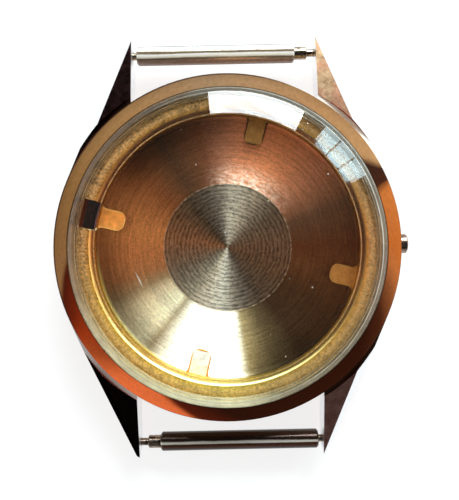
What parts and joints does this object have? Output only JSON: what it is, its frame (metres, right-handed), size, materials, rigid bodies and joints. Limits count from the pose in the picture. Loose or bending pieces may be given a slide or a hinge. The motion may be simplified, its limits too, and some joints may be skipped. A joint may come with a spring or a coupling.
{
  "type": "watch case",
  "caption": "Empty gold-plated wristwatch case with press-on bezel and back, clear crystal, movement ring, crown tube and sprung strap bars.",
  "frame": {"origin": "centre of the flat outside face of the case back", "axes": "+Z from the back up to the crystal, +X to the crown tube, +Y to 12 o'clock"},
  "size_m": [0.0342, 0.0408, 0.0089],
  "materials": {
    "plated_middle": "polished gold plate, worn",
    "plated_bezel": "polished gold plate",
    "clear_crystal": "clear acrylic, polished",
    "clear_gasket": "translucent plastic",
    "steel_back": "circular turned inside, satin outside",
    "black_rubber": "matte",
    "brass_ring": "matte, mottled",
    "steel_tube": "turned",
    "steel_bar": "polished, drawn tube",
    "steel_tip": "turned",
    "spring_steel": "drawn wire"
  },
  "bodies": {
    "case": {"mid_case": "plated_middle", "crown_tube": "steel_tube"},
    "lid": {"bezel": "plated_bezel", "crystal_gasket": "clear_gasket", "crystal": "clear_crystal"},
    "back": {"case_back": "steel_back", "back_gasket": "black_rubber"},
    "ring": {"movement_ring": "brass_ring"},
    "top_bar": {"top_bar_tube": "steel_bar", "top_bar_fixed_tip": "steel_tip", "top_bar_spring": "spring_steel"},
    "top_plunger": {"top_bar_plunger": "steel_tip"},
    "bottom_bar": {"bottom_bar_tube": "steel_bar", "bottom_bar_fixed_tip": "steel_tip", "bottom_bar_spring": "spring_steel"},
    "bottom_plunger": {"bottom_bar_plunger": "steel_tip"}
  },
  "joints": [
    {"name": "bezel_lift", "type": "slide", "parent": "case", "child": "lid", "axis": [0, 0, 1], "range_m": [0, 0.008]},
    {"name": "case_lift", "type": "slide", "parent": "back", "child": "case", "axis": [0, 0, 1], "range_m": [0, 0.008]},
    {"name": "ring_turn", "type": "hinge", "parent": "case", "child": "ring", "pos_m": [0, 0, 0.0045], "axis": [0, 0, 1], "continuous": true},
    {"name": "top_bar_spin", "type": "hinge", "parent": "case", "child": "top_bar", "pos_m": [0, 0.01922, 0.0023], "axis": [1, 0, 0], "continuous": true},
    {"name": "top_plunger_press", "type": "slide", "parent": "top_bar", "child": "top_plunger", "axis": [-1, 0, 0], "range_m": [0, 0.0012], "stiffness_N_per_m": 800, "springref_m": -0.0005, "deforming": ["top_bar_spring"]},
    {"name": "bottom_bar_spin", "type": "hinge", "parent": "case", "child": "bottom_bar", "pos_m": [0, -0.01922, 0.0023], "axis": [1, 0, 0], "continuous": true},
    {"name": "bottom_plunger_press", "type": "slide", "parent": "bottom_bar", "child": "bottom_plunger", "axis": [1, 0, 0], "range_m": [0, 0.0012], "stiffness_N_per_m": 800, "springref_m": -0.0005, "deforming": ["bottom_bar_spring"]}
  ]
}
